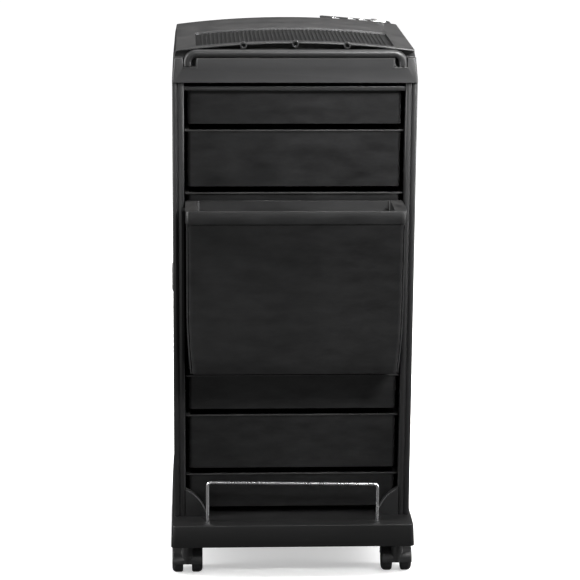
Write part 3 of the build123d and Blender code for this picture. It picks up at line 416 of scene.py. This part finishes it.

# %% [markdown]
# ## The metal finishes
# The bottle rail is chromed wire, the tool holder is bright stamped sheet, and the screws are zinc
# plated. Axles and stems are plain steel. The bin's pegs are painted near black, as painted shade
# that keeps them as dark as the shaded gap beside the bin. Metal shows its history in its
# roughness: chrome has a few wiped streaks, rolled sheet has a fine grain along one way, and
# zinc has a dull, spangled skin.

# %% Mix the metals
def metal(name, shade, roughness, spread, streaks, stretch, tint=(1.0, 1.0, 1.0), groove_depth=0.01 * MM):
    """A plated or rolled metal; streaks counts them in each metre, and stretch draws them out."""
    material, tree, shader = start_material(name)
    streaked = object_noise(tree, scale=streaks, detail=4.0, roughness=0.65, stretch=stretch)
    clouds = object_noise(tree, scale=55.0, detail=3.0, roughness=0.6)
    low = [shade * 0.86 * part for part in tint]
    high = [min(1.0, shade * 1.08) * part for part in tint]
    colour = mix_colour(tree, clouds, (*low, 1), (*high, 1))
    rough = remap(tree, streaked, 0.25, 0.75, roughness - spread, roughness + spread)
    bump = add_node(tree, "Bump", {"Height": streaked, "Strength": 0.4, "Distance": groove_depth})
    tree.links.new(colour, shader.inputs["Base Color"])
    tree.links.new(rough, shader.inputs["Roughness"])
    tree.links.new(bump.outputs[0], shader.inputs["Normal"])
    shader.inputs["Metallic"].default_value = 1.0
    return material


metals = {
    "rail_chrome": metal(
        "chromed_wire", 0.94, 0.28, spread=0.03, streaks=90.0, stretch=(1, 1, 0.2),
        tint=(1.0, 1.0, 1.01), groove_depth=0.001 * MM),
    "holder_steel": metal(
        "stamped_steel", 0.62, 0.22, spread=0.10, streaks=1500.0, stretch=(0.05, 1, 1)),
    "screw_zinc": metal(
        "zinc_plate", 0.60, 0.36, spread=0.12, streaks=700.0, stretch=(1, 1, 1),
        tint=(1.0, 0.99, 0.94)),
    "caster_steel": metal(
        "plain_steel", 0.55, 0.34, spread=0.10, streaks=900.0, stretch=(0.2, 1, 1)),
    # The pegs' near-black grey is painted shade, so they stay as dark as the shaded gap beside the bin.
    "peg_steel": metal(
        "near_black_peg_steel_painted_shade", 0.05, 0.38, spread=0.08, streaks=1100.0, stretch=(1, 0.2, 0.2)),
}
finishes.update(metals)
print("metals:", sorted(metals))

# %% [markdown]
# ## Soft edges for the big mouldings
# Nothing that comes out of a mould has a knife edge, and those small radii are what catch the light
# on a black object. The frames, the base, the tray and the drawers already have their true shape in
# the design model, so each is copied, its loose triangles are merged and its flat areas dissolved
# into whole faces, and a bevel then rounds every edge that turns sharply. Rebuilding them by hand
# would risk a runner or a notch that no longer fits. The steel tool holder and the pegs are
# softened in the same way. The radii are in millimetres and the angles in degrees.

# %% Round a copy of a design piece
MERGE_WITHIN = 0.01 * MM
FLAT_WITHIN = 0.4
SOFT_EDGES = {
    "base": 0.8, "side_frame_left": 0.5, "side_frame_right": 0.5,
    "side_cap_left": 0.3, "side_cap_right": 0.3, "back_tie_rail": 0.6, "front_tie_rail": 0.6,
    "top_tray": 0.6, "tray_mat": 0.2, "accessory_sockets": 0.4, "bin": 0.8,
    "tool_holder": 0.25, "bin_peg_left": 0.3, "bin_peg_right": 0.3}
SOFT_EDGES.update({drawer: 0.5 for drawer in DRAWERS})
SOFT_EDGES.update({caster + "_hood": 0.6 for caster in CASTERS})


def select_only(piece):
    bpy.ops.object.select_all(action="DESELECT")
    piece.select_set(True)
    bpy.context.view_layer.objects.active = piece


def apply_modifiers(piece):
    select_only(piece)
    for modifier in list(piece.modifiers):
        bpy.ops.object.modifier_apply(modifier=modifier.name)


def round_edges(piece, width, segments, sharp, clamp=True):
    """Bevels every edge that turns by more than sharp degrees."""
    bevel = piece.modifiers.new("round_edges", "BEVEL")
    bevel.width = width
    bevel.segments = segments
    bevel.limit_method = "ANGLE"
    bevel.angle_limit = math.radians(sharp)
    bevel.use_clamp_overlap = clamp
    apply_modifiers(piece)


def finish_piece(piece, name, smooth):
    """Leaves a piece at the origin, unturned and unscaled, and shades smooth below this angle."""
    select_only(piece)
    piece.name = name
    bpy.ops.object.transform_apply(location=True, rotation=True, scale=True)
    bpy.ops.object.shade_smooth_by_angle(angle=math.radians(smooth))
    return piece


def dress(piece, *nodes):
    """Gives a finished piece the material, the slot and the body of the nodes that it stands for."""
    slot = SLOT_OF[nodes[0]]
    piece.data.materials.clear()
    piece.data.materials.append(finishes[slot])
    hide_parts(*nodes)
    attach(piece, BODY_OF[nodes[0]])
    return piece


def merged_copy(node):
    """A copy of a design piece with whole faces in place of loose triangles."""
    mesh = frame["nodes"][node].data.copy()
    piece = bpy.data.objects.new(node + "_moulding", mesh)
    bpy.context.scene.collection.objects.link(piece)
    select_only(piece)
    bpy.ops.object.mode_set(mode="EDIT")
    bpy.ops.mesh.select_all(action="SELECT")
    bpy.ops.mesh.remove_doubles(threshold=MERGE_WITHIN)
    bpy.ops.mesh.dissolve_limited(angle_limit=math.radians(FLAT_WITHIN))
    bpy.ops.object.mode_set(mode="OBJECT")
    return piece


for node, radius in SOFT_EDGES.items():
    piece = merged_copy(node)
    round_edges(piece, radius * MM, segments=2, sharp=32, clamp=False)
    dress(finish_piece(piece, node + "_moulding", smooth=28), node)
    print(piece.name, len(piece.data.polygons), "faces")

# %% [markdown]
# ## Bent rods
# The push bar and the bottle rail are the same kind of thing: a round rod with a leg, a bend, a
# long straight, another bend and another leg. A circle is laid flat at the foot of the first leg
# and its edge loop is extruded upwards. At each bend the loop is spun about the bend's centre, and
# the open ends are closed with faces. Places and heights are read off the design model, so a rod
# always fits, and only its thickness, bends and rounded ends are given here.

# %% Bend the push bar and the bottle rail
BAR_THICKNESS = 13.3 * MM
RAIL_THICKNESS = 5.0 * MM
RAIL_SLOPE = 4.9 * MM


def box_of(node):
    """Lowest and highest corner of a design piece, in metres."""
    piece = frame["nodes"][node]
    corners = [piece.matrix_world @ Vector(corner) for corner in piece.bound_box]
    low = Vector([min(corner[axis] for corner in corners) for axis in range(3)])
    high = Vector([max(corner[axis] for corner in corners) for axis in range(3)])
    return low, high


def extrude_loop(move):
    bpy.ops.mesh.extrude_edges_move(TRANSFORM_OT_translate={"value": move})


def bent_rod(name, node, thickness, bend, slope, ends, sides, steps):
    """A rod in the XZ plane with two upright legs; slope is how much its far end drops."""
    low, high = box_of(node)
    radius = thickness / 2
    left, right, y = low.x + radius, high.x - radius, (low.y + high.y) / 2
    lean = math.atan2(slope, right - left)
    first_turn, last_turn = math.pi / 2 + lean, math.pi / 2 - lean
    first_reach, last_reach = bend * math.tan(first_turn / 2), bend * math.tan(last_turn / 2)
    top_left = high.z - radius + first_reach - bend
    top_right = top_left - slope
    first_bend, last_bend = top_left - first_reach, top_right - last_reach
    span = math.hypot(slope, right - left) - first_reach - last_reach
    bpy.ops.mesh.primitive_circle_add(vertices=sides, radius=radius, location=(left, y, low.z))
    rod = bpy.context.object
    bpy.ops.object.transform_apply(location=True)
    bpy.ops.object.mode_set(mode="EDIT")
    bpy.ops.mesh.select_all(action="SELECT")
    extrude_loop((0, 0, first_bend - low.z))
    bpy.ops.mesh.spin(steps=steps, angle=first_turn, center=(left + bend, y, first_bend), axis=(0, -1, 0))
    extrude_loop((span * math.cos(lean), 0, -span * math.sin(lean)))
    bpy.ops.mesh.spin(steps=steps, angle=last_turn, center=(right - bend, y, last_bend), axis=(0, -1, 0))
    extrude_loop((0, 0, low.z - last_bend))
    bpy.ops.mesh.select_all(action="SELECT")
    bpy.ops.mesh.fill_holes(sides=0)
    bpy.ops.mesh.normals_make_consistent(inside=False)
    bpy.ops.object.mode_set(mode="OBJECT")
    round_edges(rod, ends, segments=3, sharp=60)
    return dress(finish_piece(rod, name, smooth=40), node)


push_bar = bent_rod(
    "push_bar_tube", "push_bar", BAR_THICKNESS, bend=14.0 * MM, slope=0.0, ends=1.2 * MM,
    sides=48, steps=16)
bottle_rail = bent_rod(
    "bottle_rail_wire", "bottle_rail", RAIL_THICKNESS, bend=6.0 * MM, slope=RAIL_SLOPE,
    ends=0.8 * MM, sides=32, steps=12)
print("rods:", len(push_bar.data.polygons), "and", len(bottle_rail.data.polygons), "faces")

# %% [markdown]
# ## Caster wheels
# Each caster has two nylon wheels with a well rounded tread, shallow rings on the outer face and a
# deep pocket behind it, between rim and hub. One wheel is turned from a cylinder: the two tread
# edges are bevelled, more on the outer side than on the inner one, and rings, pocket, hub and bore
# are made by insets and extrusions. Then it is copied eight times, and the copies on the left are
# turned round, so that their outer faces look outwards too.

# %% Turn one wheel and copy it
OUTER, INNER = 1, -1
TREAD_ROUNDING = {OUTER: 7.0 * MM, INNER: 3.5 * MM}
OUTER_RINGS = [(1.0 * MM, -1.9 * MM), (5.0 * MM, 1.5 * MM), (3.4 * MM, -0.4 * MM)]
POCKET_AND_HUB = [(1.5 * MM, 7.5 * MM), (8.0 * MM, -7.5 * MM)]
HUB_WALL = 3.9 * MM
BORE_STOPS_SHORT = 2.5 * MM


def pick(piece, test):
    """Selects the faces that pass the test, and opens the piece for editing."""
    select_only(piece)
    bpy.ops.object.mode_set(mode="EDIT")
    bpy.ops.mesh.select_mode(type="FACE")
    bpy.ops.mesh.select_all(action="DESELECT")
    bpy.ops.object.mode_set(mode="OBJECT")
    for face in piece.data.polygons:
        face.select = test(face)
    bpy.ops.object.mode_set(mode="EDIT")


def round_picked_rim(offset, segments):
    """Bevels the outline of the selected face, and closes the piece again."""
    bpy.ops.mesh.region_to_loop()
    bpy.ops.mesh.bevel(offset=offset, segments=segments, profile=0.5, affect="EDGES")
    bpy.ops.object.mode_set(mode="OBJECT")


def turn_face(piece, side, steps):
    """Insets the end face that looks along X to this side, and moves what is left, step by step."""
    pick(piece, lambda face: face.normal.x * side > 0.99 and len(face.vertices) > 4)
    for inset, rise in steps:
        bpy.ops.mesh.inset(thickness=inset, depth=0.0)
        bpy.ops.mesh.extrude_region_move(TRANSFORM_OT_translate={"value": (rise, 0, 0)})
    bpy.ops.object.mode_set(mode="OBJECT")


def turn_wheel(radius, width):
    """A wheel at the origin whose outer face looks to +X."""
    bpy.ops.mesh.primitive_cylinder_add(
        vertices=72, radius=radius, depth=width, rotation=(0, math.pi / 2, 0))
    wheel = bpy.context.object
    bpy.ops.object.transform_apply(rotation=True)
    for side, rounding in TREAD_ROUNDING.items():
        pick(wheel, lambda face: face.normal.x * side > 0.9)
        round_picked_rim(rounding, segments=8)
    turn_face(wheel, OUTER, OUTER_RINGS)
    turn_face(wheel, INNER, POCKET_AND_HUB + [(HUB_WALL, width - BORE_STOPS_SHORT)])
    round_edges(wheel, 0.35 * MM, segments=2, sharp=50)
    return wheel


def copy_to(pattern, name, place, turned=False):
    """A copy of a piece with its own mesh, moved from the origin to a place."""
    mesh = pattern.data.copy()
    twin = bpy.data.objects.new(name, mesh)
    bpy.context.scene.collection.objects.link(twin)
    twin.location = place
    if turned:
        twin.rotation_euler = (0, 0, math.pi)
    return twin


wheel_pattern = turn_wheel(radius=20.0 * MM, width=17.4 * MM)
for caster in CASTERS:
    for side in ("left", "right"):
        node = caster + "_wheel_" + side
        low, high = box_of(node)
        wheel = copy_to(wheel_pattern, node + "_turned", (low + high) / 2, side == "left")
        dress(finish_piece(wheel, node + "_turned", smooth=40), node)
bpy.data.objects.remove(wheel_pattern)
print("wheels:", 2 * len(CASTERS), "of", len(wheel.data.polygons), "faces each")

# %% [markdown]
# ## Screws and nuts
# The screws are pan heads with a cross recess. One head is made from a cylinder with a domed edge,
# its shank is an inset and an extrusion, and two blades cut the cross by a boolean modifier. The
# rail's wire is held below the deck by hexagonal nuts, which are six-sided cylinders with a
# chamfer and a hole.

# %% Make the screws and nuts
HEAD_RADIUS, HEAD_HEIGHT = 4.0 * MM, 2.4 * MM
SHANK_RADIUS = 2.0 * MM
CROSS_BLADE = (4.4 * MM, 1.0 * MM, 2.6 * MM)
CROSS_TURN = 20
HEADS_LOOK = {"down": (math.pi, 0, 0), "drawer side": (-math.pi / 2, 0, 0)}
NUT_RADIUS, NUT_HEIGHT = 6.0 * MM, 3.0 * MM


def cut_away(piece, tool):
    """Cuts the tool out of the piece and removes the tool."""
    cut = piece.modifiers.new("cut", "BOOLEAN")
    cut.operation = "DIFFERENCE"
    cut.solver = "EXACT"
    cut.object = tool
    apply_modifiers(piece)
    bpy.data.objects.remove(tool)


def join_pieces(pieces):
    select_only(pieces[0])
    for piece in pieces:
        piece.select_set(True)
    bpy.ops.object.join()
    return pieces[0]


def make_screw(length):
    """A screw at the origin; its head points up from there and its shank down."""
    bpy.ops.mesh.primitive_cylinder_add(
        vertices=40, radius=HEAD_RADIUS, depth=HEAD_HEIGHT, location=(0, 0, HEAD_HEIGHT / 2))
    screw = bpy.context.object
    bpy.ops.object.transform_apply(location=True)
    pick(screw, lambda face: face.normal.z > 0.9)
    round_picked_rim(1.0 * MM, segments=4)
    pick(screw, lambda face: face.normal.z < -0.9)
    bpy.ops.mesh.inset(thickness=HEAD_RADIUS - SHANK_RADIUS, depth=0.0)
    bpy.ops.mesh.extrude_region_move(TRANSFORM_OT_translate={"value": (0, 0, -length)})
    bpy.ops.object.mode_set(mode="OBJECT")
    for turn in (CROSS_TURN, CROSS_TURN + 90):
        bpy.ops.mesh.primitive_cube_add(
            size=1.0, location=(0, 0, HEAD_HEIGHT), rotation=(0, 0, math.radians(turn)))
        blade = bpy.context.object
        blade.scale = CROSS_BLADE
        cut_away(screw, blade)
    return screw


def screws_for(node, places, length, heads):
    """Puts a screw at each place; heads names the way that they look."""
    pattern = make_screw(length)
    pattern.rotation_euler = HEADS_LOOK[heads]
    select_only(pattern)
    bpy.ops.object.transform_apply(rotation=True)
    screws = join_pieces([copy_to(pattern, node + "_head", place) for place in places])
    bpy.data.objects.remove(pattern)
    return dress(finish_piece(screws, node + "_driven", smooth=35), node)


def corners_in(low, high, inset, z):
    """The four places at this height that lie this far inside the corners of a box."""
    along_x = (low.x + inset, high.x - inset)
    along_y = (low.y + inset, high.y - inset)
    return [(x, y, z) for x in along_x for y in along_y]


for node in ("base_screws", "tray_screws"):
    low, high = box_of(node)
    bearing = low.z + HEAD_HEIGHT
    screws_for(node, corners_in(low, high, HEAD_RADIUS, bearing), high.z - bearing, "down")

low, high = box_of("holder_screws")
bearing = high.y - HEAD_HEIGHT
ends = [(low.x + HEAD_RADIUS, bearing, high.z - HEAD_RADIUS),
        (high.x - HEAD_RADIUS, bearing, low.z + HEAD_RADIUS)]
screws_for("holder_screws", ends, bearing - low.y, "drawer side")

low, high = box_of("rail_nuts")
nuts = []
for x in (low.x + NUT_RADIUS, high.x - NUT_RADIUS):
    place = (x, (low.y + high.y) / 2, (low.z + high.z) / 2)
    bpy.ops.mesh.primitive_cylinder_add(vertices=6, radius=NUT_RADIUS, depth=NUT_HEIGHT, location=place)
    nut = bpy.context.object
    round_edges(nut, 0.4 * MM, segments=2, sharp=40)
    bpy.ops.mesh.primitive_cylinder_add(
        vertices=32, radius=RAIL_THICKNESS / 2, depth=2 * NUT_HEIGHT, location=place)
    cut_away(nut, bpy.context.object)
    nuts.append(nut)
dress(finish_piece(join_pieces(nuts), "rail_nuts_hexagonal", smooth=35), "rail_nuts")
print("screws and nuts are in place")

# %% [markdown]
# ## The pieces that stay as designed
# Stems, axles and socket sleeves are plain turned parts that hide inside the casters and the base.
# They keep their design meshes and only get their materials.

# %% Dress what is left
plain = []
for name, node in frame["nodes"].items():
    if not node.hide_render:
        node.data.materials.clear()
        node.data.materials.append(finishes[SLOT_OF[name]])
        plain.append(name)
print("kept as designed:", plain)
